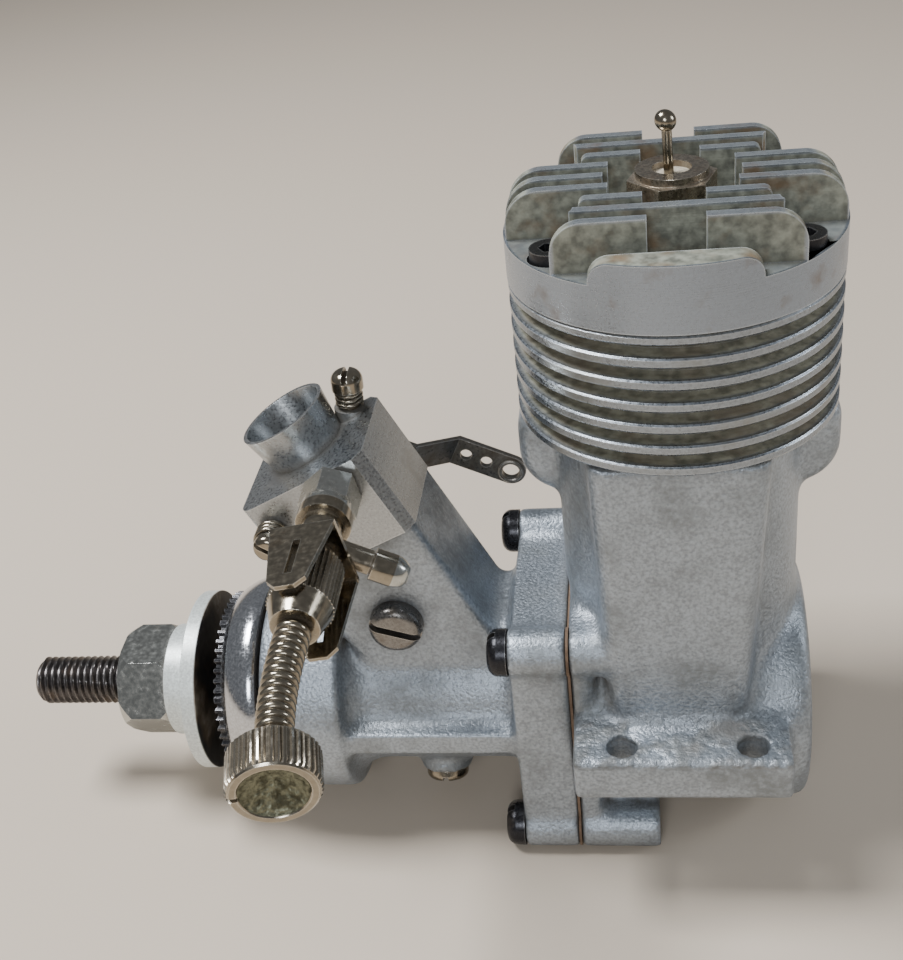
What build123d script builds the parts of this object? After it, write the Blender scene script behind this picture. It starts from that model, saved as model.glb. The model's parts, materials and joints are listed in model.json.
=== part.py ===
"""Two-stroke glow engine with front induction and a rotating-barrel carburettor.

Frame, in millimetres: X runs along the crankshaft with the propeller end at -X, Z is up along the
cylinder, and the needle valve side is -Y. The origin is where the crankshaft and cylinder axes cross,
which is also the centre of the four beam-mount holes, on the underside of the lugs.
Everything is drawn at rest: piston at the bottom of its stroke, throttle open.
"""
from build123d import *
from math import cos, pi, radians, sin
import os

# Crank train
CYLINDER_BORE_R = 10.4
THROW = 8.5
ROD_LENGTH = 35.0
WRIST_Z = ROD_LENGTH - THROW
RUNNING_GAP = 0.03
PISTON_R = CYLINDER_BORE_R - RUNNING_GAP
CROWN_Z = WRIST_Z + 8.0
PISTON_LENGTH = 15.0
WRIST_PIN_R = 2.0
CRANKPIN_R = 2.25
JOURNAL_R = 6.0
WEB_FRONT_X = -12.3
WEB_REAR_X = -7.0
CRANKPIN_END_X = -3.4
STUD_R = 3.175
STUD_TIP_X = -84.5
NUT_FRONT_X = -71.5
NUT_REAR_X = -65.1
NUT_THREAD_R = 2.88
NUT_TURN = 27.0

# Crankcase and cylinder
CASE_FRONT_X = -12.8
CASE_REAR_X = 14.3
CASE_R = 14.8
CHAMBER_R = 12.95
CHAMBER_REAR_X = 11.2
BARREL_R = 13.3
LINER_R = 11.7
FIN_R = 17.05
FIN_ROOT_R = 14.2
FIN_COUNT = 7
FIN_PITCH = 2.39
FIN_THICKNESS = 1.2
LOWEST_FIN_Z = 40.16
DECK_Z = 55.6
LUG_Y = 21.5
LUG_THICKNESS = 5.6
LUG_HOLE_X = 7.2
LUG_HOLE_Y = 18.5
LUG_HOLE_R = 1.7
FLANGE_SCREW_Y = 12.0
FLANGE_SCREW_Z = 13.9
BOSS_R = 2.8
SCREW_R = 1.5

# Exhaust stack, on the +Y side
STACK_HALF_WIDTH = 17.4
STACK_FLOOR_Z = 29.4
STACK_END_Y = 24.0
DUCT_HALF_WIDTH = 14.0
DUCT_FLOOR_Z = 32.6
DUCT_ROOF_Z = 38.7

# Front housing
GASKET_THICKNESS = 0.3
HOUSING_REAR_X = CASE_FRONT_X - GASKET_THICKNESS
FLANGE_FRONT_X = -19.8
NOSE_REAR_X = -40.8
NOSE_FRONT_X = -50.9
NOSE_R = 13.7
HOUSING_R = 10.2
BUSH_R = 7.6

# Head
HEAD_BOTTOM_Z = 55.75
HEAD_R = 17.1
HEAD_FLOOR_Z = 60.3
HEAD_FIN_TOP_Z = 65.3
HEAD_FIN_PITCH = 2.95
HEAD_FIN_THICKNESS = 1.15
# For the middle fin and each pair beside it: half length, half gap at the middle, end rounding
HEAD_FINS = ((16.7, 6.8, 3.6), (16.6, 6.3, 3.6), (9.1, 3.0, 0.8), (11.1, 0.0, 0.8), (11.8, 2.7, 3.2))
HEAD_SCREW_X = 11.9
HEAD_SCREW_Y = 8.2
HEAD_SCREW_R = 1.25
PLUG_SEAT_Z = 61.2

# Intake: the neck and the carburettor lean forward by this angle
INTAKE_LEAN = 26.0
INTAKE = Plane(
    origin=(0, 0, 0),
    x_dir=(cos(radians(INTAKE_LEAN)), 0, sin(radians(INTAKE_LEAN))),
    z_dir=(-sin(radians(INTAKE_LEAN)), 0, cos(radians(INTAKE_LEAN))),
).location
NECK_S = -22.6
NECK_HALF_LENGTH = 8.4
NECK_NEAR_Y = -7.0
NECK_FAR_Y = 6.1
NECK_TOP = 38.9
BLOCK_BOTTOM = 39.2
BLOCK_TOP = 50.0
VENTURI_R = 3.7
SPIGOT_R = 4.8
BARREL_S = -22.4
BARREL_W = 44.4
THROTTLE_R = 4.6
CARB_SCREW_S = NECK_S - 0.9
CARB_SCREW_W = 27.7
CARB_SLOT_TURN = 46.0
BLEED_SLOT_TURN = 30.0
IDLE_SLOT_TURN = 90.0
BLEED_S = -27.5
BLEED_W = 46.4
IDLE_UP = Vector(0.02, 0, 1).normalized()
IDLE_FOOT = (INTAKE * Pos(-16.8, 3.2, BLOCK_TOP)).position
ARM_PIVOT = (INTAKE * Pos(BARREL_S, 0, BARREL_W)).position
ARM_ANGLE = -25.5
ARM_HALF_WIDTH = 1.9
ARM_OFFSET = 2.27
ARM_HOLES = ((14.4, 0.75), (17.1, 0.75), (20.4, 1.1))

# Boss for the small plug under the front housing
UNDERSIDE_ROOT = (-30.2, 0, 0)
UNDERSIDE_SEAT = (-30.2, -5.0, -10.9)

# Needle valve, whose axis runs towards -Y and drops a little on the way
NEEDLE_X = -37.3
NEEDLE_REFERENCE = Vector(NEEDLE_X, -11.0, 35.0)
NEEDLE_DROP = 3.8
NEEDLE_AXIS = Vector(0, -cos(radians(NEEDLE_DROP)), -sin(radians(NEEDLE_DROP)))
INLET_ANGLE = 26.0
INLET_TUBE_R = 1.35
INLET_BULLET_R = 1.75
CLIP_TURN = 9.0
CLIP_Y = -20.2
KNOB_NOTCH = 4.0
SPRING_BEND_R = 52.0
SPRING_BEND_ANGLE = 16.0
SPRING_START_Y = -31.45
SPRING_SAG = 3.0
SPRING_YAW = 4.5


def along_x(radius, x_from, x_to, y=0, z=0):
    """A cylinder whose axis is parallel to X."""
    return bar((x_from, y, z), (x_to, y, z), radius)


def along_y(radius, y_from, y_to, x=0, z=0):
    """A cylinder whose axis is parallel to Y."""
    return bar((x, y_from, z), (x, y_to, z), radius)


def along_z(radius, z_from, z_to, x=0, y=0):
    """A cylinder whose axis is parallel to Z."""
    return bar((x, y, z_from), (x, y, z_to), radius)


def plane_between(start, end):
    """The start point, the length, and a plane there that looks towards the end point."""
    start = Vector(*start)
    run = Vector(*end) - start
    return Plane(origin=start, z_dir=run), run.length


def bar(start, end, radius):
    """A round bar between two points."""
    plane, length = plane_between(start, end)
    return plane * Pos(0, 0, length / 2) * Cylinder(radius, length)


def cone(start, end, start_r, end_r):
    """A frustum between two points."""
    plane, length = plane_between(start, end)
    return plane * Pos(0, 0, length / 2) * Cone(start_r, end_r, length)


def hexagon(start, end, across_flats, turn=0):
    """A hexagonal bar between two points."""
    plane, length = plane_between(start, end)
    outline = RegularPolygon(across_flats / 2, 6, major_radius=False)
    return plane * Rot(0, 0, turn) * extrude(outline, length)


def block(x_from, x_to, y_from, y_to, z_from, z_to, edge=0.0, edge_axis=None):
    """A box between two corners, with the edges along one axis (or all edges) rounded."""
    solid = Pos((x_from + x_to) / 2, (y_from + y_to) / 2, (z_from + z_to) / 2) * Box(
        x_to - x_from, y_to - y_from, z_to - z_from)
    if not edge:
        return solid
    edges = solid.edges()
    if edge_axis is not None:
        edges = edges.filter_by(edge_axis)
    return fillet(edges, edge)


def toothed_bar(start, end, radius, depth, teeth):
    """A round bar with straight V grooves along it, as on a knurled knob."""
    plane, length = plane_between(start, end)
    points = []
    for tooth in range(2 * teeth):
        tooth_r = radius if tooth % 2 == 0 else radius - depth
        angle = pi * tooth / teeth
        points.append((tooth_r * cos(angle), tooth_r * sin(angle)))
    return plane * extrude(make_face(Polyline(*points, close=True)), length)


def coil(start, end, radius, wire_r, turns):
    """A helical compression spring between two points."""
    plane, length = plane_between(start, end)
    pitch = (length - 2 * wire_r) / turns
    path = Pos(0, 0, wire_r) * Helix(pitch, pitch * turns, radius)
    section = Plane(origin=path @ 0, z_dir=path % 0) * Circle(wire_r)
    return plane * sweep(section, path, is_frenet=True)


def four_corners(half_1, half_2):
    """The four sign combinations of a rectangle's corners."""
    return [(sign_1 * half_1, sign_2 * half_2) for sign_1 in (-1, 1) for sign_2 in (-1, 1)]


def flange_outline():
    """The front flange's outline: a rounded square with a screw boss at each corner."""
    outline = RectangleRounded(27.0, 29.6, 3.0)
    for y, z in four_corners(FLANGE_SCREW_Y, FLANGE_SCREW_Z):
        outline += Pos(y, z) * Circle(BOSS_R)
    return outline


def flange_plate(x_from, x_to):
    """A plate with the flange outline between two stations along X."""
    plane = Plane(origin=(x_from, 0, 0), x_dir=(0, 1, 0), z_dir=(1, 0, 0))
    return plane * extrude(flange_outline(), x_to - x_from)


def crankcase():
    """The main casting: crank chamber, finned cylinder barrel, lugs, bypass and exhaust stack."""
    drum = fillet(along_x(CASE_R, CASE_FRONT_X, CASE_REAR_X).edges().sort_by(Axis.X)[-1], 1.6)
    body = drum
    body += along_z(BARREL_R, 0, LOWEST_FIN_Z + 0.2)
    body += along_z(FIN_ROOT_R, LOWEST_FIN_Z - 0.6, DECK_Z)
    for index in range(FIN_COUNT):
        bottom = LOWEST_FIN_Z + index * FIN_PITCH
        top = min(bottom + FIN_THICKNESS, DECK_Z)
        body += along_z(FIN_R, bottom, top)
    # Front flange, with a raised boss behind each screw
    body += flange_plate(CASE_FRONT_X, -10.4)
    for y, z in four_corners(FLANGE_SCREW_Y, FLANGE_SCREW_Z):
        boss_end = -8.4 if z > 0 else -3.2
        boss = along_x(BOSS_R, CASE_FRONT_X, boss_end, y, z)
        body += boss
        body += block(CASE_FRONT_X, boss_end - 0.4, min(0, y), max(0, y), z - 2.6, z + 2.6)
    # Bypass bulge, on the -Y side, narrower and rounded at its lower end
    bulge_top = LOWEST_FIN_Z - 0.3
    bulge_foot = LUG_THICKNESS - 3
    points = ((-9.6, bulge_top), (9.1, bulge_top), (6.8, bulge_foot), (-8.2, bulge_foot))
    bulge = extrude(Plane.XZ * make_face(Polyline(*points, close=True)), 15.0)
    bulge = fillet(bulge.edges().filter_by(Axis.Y).sort_by(Axis.Z)[:2], 5.5)
    outer_edges = [edge for edge in bulge.edges() if edge.center().Y < -14.9 and edge.center().Z < bulge_top - 1]
    body += fillet(outer_edges, 2.2)
    # Exhaust stack, on the +Y side
    stack = block(-STACK_HALF_WIDTH, STACK_HALF_WIDTH, -3.5, STACK_END_Y, STACK_FLOOR_Z, LOWEST_FIN_Z)
    stack = fillet(stack.edges().filter_by(Axis.Y).sort_by(Axis.Z)[:2], 5.2)
    stack = fillet(stack.edges().filter_by(Axis.Y).sort_by(Axis.Z)[-2:], 2.6)
    stack = fillet(stack.edges().filter_by(Axis.Z).sort_by(Axis.Y)[:2], 2.0)
    body += stack
    # Beam lugs, one each side
    for side in (-1, 1):
        near, far = sorted((side * 8.0, side * LUG_Y))
        lug = block(CASE_FRONT_X + 0.1, 11.5, near, far, 0, LUG_THICKNESS)
        outer_edges = [edge for edge in lug.edges() if abs(edge.center().Y) > LUG_Y - 0.1]
        body += fillet(outer_edges, 0.7)
    # The flat front face, then the openings
    body -= block(-20, CASE_FRONT_X, -20, 20, -20, 17.2)
    body -= along_x(CHAMBER_R, CASE_FRONT_X - 1, CHAMBER_REAR_X)
    body -= along_z(LINER_R, 8, DECK_Z + 1)
    body -= along_z(13.0, DECK_Z - 1.2, DECK_Z + 1)
    body -= block(-5.5, 5.5, -13.4, -8, 9, 38.2)
    duct_end = STACK_END_Y + 1
    body -= block(-DUCT_HALF_WIDTH, DUCT_HALF_WIDTH, 6.5, duct_end, DUCT_FLOOR_Z, DUCT_ROOF_Z, 2.4, Axis.Y)
    for x, y in four_corners(LUG_HOLE_X, LUG_HOLE_Y):
        body -= along_z(LUG_HOLE_R, -1, LUG_THICKNESS + 1, x, y)
    for y, z in four_corners(FLANGE_SCREW_Y, FLANGE_SCREW_Z):
        body -= along_x(SCREW_R, CASE_FRONT_X - 1, -9.6, y, z)
    for x, y in four_corners(HEAD_SCREW_X, HEAD_SCREW_Y):
        body -= along_z(HEAD_SCREW_R, 48.8, DECK_Z + 1, x, y)
    return body


def cylinder_liner():
    """The steel sleeve the piston runs in, with its flange, transfer ports and exhaust port."""
    sleeve = along_z(LINER_R, 18.6, DECK_Z) + along_z(13.0, DECK_Z - 1.2, DECK_Z)
    sleeve -= along_z(CYLINDER_BORE_R, 18, DECK_Z + 1)
    for x in (-8.6, 0, 8.6):
        sleeve -= block(x - 3.6, x + 3.6, 6.0, 13.0, 34.2, 38.3)
    for x in (-3.0, 3.0):
        sleeve -= block(x - 2.4, x + 2.4, -13.0, -8.0, 34.8, 37.8)
    return sleeve


def ring(outer_r, inner_r, z_from, z_to):
    """A flat ring around the cylinder axis."""
    return along_z(outer_r, z_from, z_to) - along_z(inner_r, z_from - 1, z_to + 1)


def head_gasket():
    """The soft ring between the cylinder deck and the head."""
    return ring(13.0, 10.6, DECK_Z, HEAD_BOTTOM_Z)


def head_fin(index):
    """One straight fin of the head, with rounded top ends, and split where the plug stands."""
    half_length, gap, end_round = HEAD_FINS[abs(index)]
    y = index * HEAD_FIN_PITCH
    half = 0.5 * HEAD_FIN_THICKNESS
    fin = block(-half_length, half_length, y - half, y + half, HEAD_FLOOR_Z - 0.2, HEAD_FIN_TOP_Z)
    fin = fillet(fin.edges().filter_by(Axis.Y).sort_by(Axis.Z)[-2:], end_round)
    if gap:
        fin -= block(-gap, gap, y - 1, y + 1, HEAD_FLOOR_Z + 0.4, HEAD_FIN_TOP_Z + 1)
    return fin


def cylinder_head():
    """The finned head: machined rim, straight fins along X, plug well and combustion bowl."""
    head = along_z(HEAD_R, HEAD_BOTTOM_Z, HEAD_FLOOR_Z)
    head += along_z(CYLINDER_BORE_R - 0.05, 52.2, HEAD_BOTTOM_Z + 0.1)
    cheeks = block(-8.3, 7.7, -HEAD_R, HEAD_R, HEAD_FLOOR_Z - 0.2, 62.6)
    cheeks = fillet(cheeks.edges().filter_by(Axis.Y).sort_by(Axis.Z)[-2:], 2.1)
    cheeks -= block(-20, 20, -13.6, 13.6, HEAD_FLOOR_Z - 1, 64)
    upper = cheeks
    for index in range(-4, 5):
        upper += head_fin(index)
    upper &= along_z(HEAD_R, HEAD_BOTTOM_Z, HEAD_FIN_TOP_Z)
    head += upper
    head += along_z(5.6, HEAD_FLOOR_Z - 0.2, PLUG_SEAT_Z)
    head -= along_z(STUD_R, 50, PLUG_SEAT_Z + 1)
    head -= Pos(0, 0, 46.6) * Sphere(9.6)
    for x, y in four_corners(HEAD_SCREW_X, HEAD_SCREW_Y):
        head -= along_z(HEAD_SCREW_R + 0.15, HEAD_BOTTOM_Z - 1, 70, x, y)
        head -= along_z(2.35, HEAD_FLOOR_Z - 1.3, 70, x, y)
    return head


def head_screws():
    """Four socket-head screws that hold the head down."""
    screws = []
    for x, y in four_corners(HEAD_SCREW_X, HEAD_SCREW_Y):
        seat = HEAD_FLOOR_Z - 1.3
        screw = along_z(HEAD_SCREW_R, 49.0, seat, x, y) + along_z(2.1, seat, seat + 2.4, x, y)
        screw -= hexagon((x, y, seat + 1.0), (x, y, seat + 3.0), 2.0)
        screws.append(screw)
    return Compound(children=screws)


def glow_plug_body():
    """The plug's steel body: hexagon, rim, and threaded shank."""
    body = along_z(STUD_R, 53.4, PLUG_SEAT_Z + 0.6)
    body += hexagon((0, 0, PLUG_SEAT_Z + 0.5), (0, 0, 64.8), 7.94, 12)
    body += along_z(3.65, 64.8, 65.6)
    body -= along_z(1.95, 54.4, 66)
    body -= along_z(1.4, 53, 55)
    return body


def glow_plug_washer():
    """The copper sealing washer under the plug's hexagon."""
    return ring(4.3, STUD_R, PLUG_SEAT_Z, PLUG_SEAT_Z + 0.5)


def glow_plug_insulator():
    """The insulating bush between the plug's body and its centre post."""
    return along_z(1.95, 57.0, 64.9) - along_z(0.5, 56, 66)


def glow_plug_terminal():
    """The centre post with the ball the battery clip snaps onto."""
    return along_z(0.5, 56.6, 69.6) + Pos(0, 0, 70.25) * Sphere(1.06)


def glow_plug_coil():
    """The platinum wire coil in the plug's open end."""
    return coil((0, 0, 54.0), (0, 0, 56.6), 0.8, 0.14, 5)


def front_gasket():
    """The paper gasket between the crankcase and the front housing."""
    gasket = flange_plate(HOUSING_REAR_X, CASE_FRONT_X)
    gasket -= along_x(CHAMBER_R, -15, -10)
    for y, z in four_corners(FLANGE_SCREW_Y, FLANGE_SCREW_Z):
        gasket -= along_x(SCREW_R, -15, -10, y, z)
    return gasket


def neck():
    """The intake neck that leans forward and carries the carburettor."""
    post = block(NECK_S - NECK_HALF_LENGTH, NECK_S + NECK_HALF_LENGTH,
                 NECK_NEAR_Y, NECK_FAR_Y, 11.0, NECK_TOP, 1.0, Axis.Z)
    return INTAKE * post


def front_housing():
    """The front casting: flange, shaft housing, nose, side webs and intake neck."""
    body = flange_plate(FLANGE_FRONT_X, HOUSING_REAR_X)
    body += along_x(HOUSING_R, NOSE_REAR_X, FLANGE_FRONT_X + 1)
    body += cone((NOSE_REAR_X - 1, 0, 0), (NOSE_REAR_X + 2.5, 0, 0), 12.0, HOUSING_R)
    nose = along_x(NOSE_R, NOSE_FRONT_X, NOSE_REAR_X)
    nose = fillet(nose.edges().sort_by(Axis.X)[-1], 0.8)
    nose = chamfer(nose.edges().sort_by(Axis.X)[0], 2.6, 0.9)
    body += nose
    body += block(NOSE_REAR_X - 1, FLANGE_FRONT_X + 1, -12.6, 12.6, -1.7, 1.5)
    body += neck()
    # Gusset between the neck and the flange
    gusset = block(-27.0, FLANGE_FRONT_X + 1, NECK_NEAR_Y, NECK_FAR_Y, 0, 12.9)
    body += fillet(gusset.edges().filter_by(Axis.X).sort_by(Axis.Z)[-2:], 2.0)
    # Boss for the underside plug, and the openings
    body += bar(UNDERSIDE_ROOT, UNDERSIDE_SEAT, 3.2)
    body -= bar(UNDERSIDE_ROOT, UNDERSIDE_SEAT, 1.5)
    body -= along_x(BUSH_R, NOSE_FRONT_X - 1, HOUSING_REAR_X + 1)
    intake = along_z(VENTURI_R + 0.1, 13.0, 30.0, NECK_S)
    intake += along_z(SPIGOT_R, 29.0, NECK_TOP + 1, NECK_S)
    body -= INTAKE * intake
    body -= INTAKE * along_y(1.6, -8, 0, CARB_SCREW_S, CARB_SCREW_W)
    for y, z in four_corners(FLANGE_SCREW_Y, FLANGE_SCREW_Z):
        body -= along_x(SCREW_R, -21, -12, y, z)
    return body


def crankshaft_bush():
    """The bronze plain bearing pressed into the front housing."""
    bush = along_x(BUSH_R, NOSE_FRONT_X + 0.4, HOUSING_REAR_X)
    bush -= along_x(JOURNAL_R + RUNNING_GAP, NOSE_FRONT_X - 1, HOUSING_REAR_X + 1)
    bush -= INTAKE * along_z(VENTURI_R + 0.1, 11.5, 30.0, NECK_S)
    return bush


def pan_head(seat, outward, head_r, head_height, slot_width, slot_turn=0):
    """A slotted round screw head that stands outward from its seat point."""
    seat = Vector(*seat)
    outward = Vector(*outward).normalized()
    head = bar(seat, seat + outward * head_height, head_r)
    top_edge = head.edges().sort_by(lambda edge: (edge.center() - seat).dot(outward))[-1]
    head = fillet(top_edge, 0.55 * head_height)
    plane = Plane(origin=seat + outward * (0.55 * head_height), z_dir=outward)
    slot = Rot(0, 0, slot_turn) * Box(3 * head_r, slot_width, 2 * head_height)
    slot = plane * Pos(0, 0, head_height) * slot
    return head - slot


def front_housing_screws():
    """Four round-head screws through the front flange."""
    screws = []
    for y, z in four_corners(FLANGE_SCREW_Y, FLANGE_SCREW_Z):
        shank = along_x(SCREW_R, FLANGE_FRONT_X, -10.0, y, z)
        screws.append(shank + pan_head((FLANGE_FRONT_X, y, z), (-1, 0, 0), 2.75, 2.3, 0.8))
    return Compound(children=screws)


def underside_plug():
    """The small screw in the boss under the front housing."""
    seat = Vector(*UNDERSIDE_SEAT)
    outward = Vector(0, -5.0, -10.9).normalized()
    return bar(seat - outward * 3.6, seat, 1.5) + pan_head(UNDERSIDE_SEAT, outward, 2.7, 1.5, 0.7)


def crankshaft():
    """The one-piece shaft: propeller stud, hollow ported journal, counterweighted web and crankpin."""
    shaft = along_x(JOURNAL_R, -50.7, WEB_FRONT_X)
    shaft += along_x(4.9, -56.6, -50.6)
    shaft += chamfer(along_x(STUD_R, STUD_TIP_X, NUT_FRONT_X).edges().sort_by(Axis.X)[0], 0.9)
    shaft += along_x(NUT_THREAD_R, NUT_FRONT_X, NUT_REAR_X)
    shaft += along_x(STUD_R, NUT_REAR_X, -56.0)
    web = along_x(12.2, WEB_FRONT_X, WEB_REAR_X)
    for side in (-1, 1):
        near, far = sorted((side * 5.6, side * 14.0))
        web -= block(-13, -6, near, far, -14.0, -1.0)
    shaft += web
    shaft += along_x(CRANKPIN_R, WEB_REAR_X - 0.1, CRANKPIN_END_X, 0, -THROW)
    shaft -= along_x(3.9, -33.5, -6.0)
    shaft -= block(-32.6, -24.4, -4.6, 4.6, 1.6, 7.0)
    return shaft


def drive_washer():
    """The domed washer behind the propeller, with radial teeth on its front face."""
    profile = Polyline((-51.3, 4.9), (-51.3, 13.1), (-52.4, 13.25), (-54.0, 12.9), (-55.4, 12.2),
                       (-56.5, 11.2), (-57.0, 10.7), (-57.0, 4.9), close=True)
    plane = Plane(origin=(0, 0, 0), x_dir=(1, 0, 0), z_dir=(0, -1, 0))
    washer = revolve(plane * make_face(profile), Axis.X)
    teeth = 36
    for tooth in range(teeth):
        groove = Pos(-57.0, 8.8, 0) * Rot(0, 45, 0) * Box(0.5, 5.0, 0.5)
        washer -= Rot(360 * tooth / teeth, 0, 0) * groove
    return washer


def propeller_washer():
    """The plain washer in front of the propeller, with a raised centre under the nut."""
    washer = along_x(11.5, -61.33, -59.33) + along_x(7.2, NUT_REAR_X, -61.3)
    return washer - along_x(STUD_R, -66, -59)


def propeller_nut():
    """The hexagon nut that clamps the propeller."""
    nut = hexagon((NUT_REAR_X, 0, 0), (NUT_FRONT_X, 0, 0), 12.7, NUT_TURN)
    nut &= cone((NUT_FRONT_X, 0, 0), (NUT_REAR_X + 0.2, 0, 0), 6.5, 10.0)
    nut &= cone((NUT_FRONT_X - 0.1, 0, 0), (NUT_REAR_X, 0, 0), 10.0, 6.9)
    return nut - along_x(NUT_THREAD_R, -73, -64)


def piston():
    """The lapped piston: crown, skirt, pin bosses and the slots that clear the rod."""
    body = along_z(PISTON_R, CROWN_Z - PISTON_LENGTH, CROWN_Z)
    body -= along_z(8.7, CROWN_Z - PISTON_LENGTH - 1, CROWN_Z - 2.0)
    bosses = along_x(3.6, -9.0, 9.0, 0, WRIST_Z) & along_z(9.0, 0, CROWN_Z)
    bosses += block(-9.0, 9.0, -2.6, 2.6, WRIST_Z, CROWN_Z - 1) & along_z(9.0, 0, CROWN_Z)
    bosses -= block(-3.5, 3.5, -6, 6, 10, CROWN_Z - 2.0)
    body += bosses
    body -= along_x(WRIST_PIN_R, -12, 12, 0, WRIST_Z)
    return body


def wrist_pin():
    """The hollow pin that joins piston and rod."""
    return along_x(WRIST_PIN_R, -9.2, 9.2, 0, WRIST_Z) - along_x(1.1, -10, 10, 0, WRIST_Z)


def wrist_pin_pads():
    """Two soft pads at the ends of the wrist pin that keep it off the cylinder wall."""
    pads = []
    for side in (-1, 1):
        near, far = sorted((side * 9.2, side * 9.95))
        pads.append(along_x(WRIST_PIN_R - 0.1, near, far, 0, WRIST_Z))
    return Compound(children=pads)


def connecting_rod():
    """The forged rod, with an eye at each end and a tapering shank."""
    rod = along_x(4.0, -3.0, 3.0, 0, -THROW)
    rod += along_x(3.5, -2.8, 2.8, 0, WRIST_Z)
    shank_points = ((-2.6, -THROW + 2), (2.6, -THROW + 2), (2.0, WRIST_Z - 2), (-2.0, WRIST_Z - 2))
    plane = Plane(origin=(-1.5, 0, 0), x_dir=(0, 1, 0), z_dir=(1, 0, 0))
    rod += plane * extrude(make_face(Polyline(*shank_points, close=True)), 3.0)
    rod -= along_x(CRANKPIN_R + 0.65, -4, 4, 0, -THROW)
    rod -= along_x(WRIST_PIN_R + 0.6, -4, 4, 0, WRIST_Z)
    return rod


def rod_bush(inner_r, outer_r, half_length, z):
    """A thin bronze bush in one of the rod's eyes."""
    return along_x(outer_r, -half_length, half_length, 0, z) - along_x(inner_r, -4, 4, 0, z)


def carburettor_seal():
    """The thin seal between the intake neck and the carburettor."""
    seal = block(NECK_S - 6.2, NECK_S + 8.0, -5.7, 5.2, NECK_TOP, BLOCK_BOTTOM, 2.0, Axis.Z)
    return INTAKE * (seal - along_z(SPIGOT_R, 30, 45, NECK_S))


def carburettor_body():
    """The machined block with its flared intake stub, spigot and cross bore for the barrel."""
    body = block(-29.6, -13.2, -9.0, 4.8, BLOCK_BOTTOM, BLOCK_TOP)
    rear_corners = body.edges().filter_by(Axis.Z).sort_by(Axis.X)[2:]
    body = chamfer(rear_corners, 1.2)
    front_corners = body.edges().filter_by(Axis.Z).sort_by(Axis.X)[:2]
    body = fillet(front_corners, 1.6)
    body += cone((BARREL_S, 0, BLOCK_TOP - 0.2), (BARREL_S, 0, 55.0), 4.6, 5.35)
    body += along_z(SPIGOT_R, 29.2, BLOCK_BOTTOM + 0.1, NECK_S)
    body -= along_z(VENTURI_R, 28, 52, NECK_S)
    body -= cone((BARREL_S, 0, 50.0), (BARREL_S, 0, 55.1), VENTURI_R, 4.9)
    body -= along_y(THROTTLE_R + RUNNING_GAP, -6.0, 6.0, BARREL_S, BARREL_W)
    body -= along_y(1.3, -10, -6.4, BLEED_S, BLEED_W)
    body = INTAKE * body
    body -= bar(on_needle(-10), on_needle(-6.3), 1.6)
    body += bar(IDLE_FOOT - IDLE_UP * 1.5, IDLE_FOOT + IDLE_UP * 0.85, 1.9)
    body -= bar(IDLE_FOOT + IDLE_UP, IDLE_FOOT - IDLE_UP * 3.0, 1.1)
    return body


def carburettor_screw():
    """The large slotted screw in the side of the neck that grips the carburettor's spigot."""
    shank = along_y(1.6, NECK_NEAR_Y, -4.9, CARB_SCREW_S, CARB_SCREW_W)
    head = pan_head((CARB_SCREW_S, NECK_NEAR_Y, CARB_SCREW_W), (0, -1, 0), 3.2, 2.2, 0.9, CARB_SLOT_TURN)
    return INTAKE * (shank + head)


def throttle_barrel():
    """The rotating barrel with its cross hole and the stub the arm is fixed to."""
    barrel = along_y(THROTTLE_R, -5.8, 4.8, BARREL_S, BARREL_W)
    barrel += along_y(1.6, 4.7, 7.5, BARREL_S, BARREL_W)
    barrel -= along_z(VENTURI_R, 38, 51, BARREL_S)
    return INTAKE * barrel


def throttle_arm():
    """The bent steel lever on the far end of the barrel, drilled for the throttle link."""
    half = 0.4
    length = ARM_HOLES[-1][0] + ARM_HALF_WIDTH
    points = ((-3.0, 6.9), (7.9, 6.9), (12.9, 12.0), (length, 12.0))
    upper = [(u, y + half) for u, y in points]
    lower = [(u, y - half) for u, y in reversed(points)]
    outline = make_face(Polyline(*upper, *lower, close=True))
    arm = Pos(0, 0, -4) * extrude(outline, 12.0)
    strip = block(-3.0, length, 0, 14, ARM_OFFSET - ARM_HALF_WIDTH, ARM_OFFSET + ARM_HALF_WIDTH)
    strip = fillet(strip.edges().filter_by(Axis.Y).sort_by(Axis.X)[-2:], ARM_HALF_WIDTH - 0.05)
    arm &= strip + along_y(3.0, 0, 8)
    arm -= along_y(1.6, 0, 9)
    for u, hole_r in ARM_HOLES:
        arm -= along_y(hole_r, 0, 16, u, ARM_OFFSET)
    return Pos(ARM_PIVOT) * Rot(0, -ARM_ANGLE, 0) * arm


def idle_stop_screw():
    """The slotted screw on top of the block that limits how far the barrel closes."""
    seat = IDLE_FOOT + IDLE_UP * 3.2
    screw = bar(IDLE_FOOT - IDLE_UP * 2.1, seat, 1.07)
    return screw + pan_head(seat, IDLE_UP, 1.85, 2.3, 0.6, IDLE_SLOT_TURN)


def idle_stop_spring():
    """The small coil spring under the idle stop screw's head."""
    return coil(IDLE_FOOT + IDLE_UP * 0.9, IDLE_FOOT + IDLE_UP * 3.15, 1.42, 0.24, 3)


def air_bleed_screw():
    """The slotted screw at the front of the block that trims the idle mixture."""
    screw = along_y(1.27, -11.6, -6.6, BLEED_S, BLEED_W)
    screw += pan_head((BLEED_S, -11.6, BLEED_W), (0, -1, 0), 1.6, 1.4, 0.5, BLEED_SLOT_TURN)
    return INTAKE * screw


def air_bleed_spring():
    """The small coil spring under the air bleed screw's head."""
    start = (INTAKE * Pos(BLEED_S, -9.1, BLEED_W)).position
    end = (INTAKE * Pos(BLEED_S, -11.5, BLEED_W)).position
    return coil(start, end, 1.62, 0.24, 3)


def on_needle(y):
    """The point of the needle valve's axis at a station along Y."""
    return NEEDLE_REFERENCE + NEEDLE_AXIS * ((NEEDLE_REFERENCE.Y - y) / cos(radians(NEEDLE_DROP)))


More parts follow.
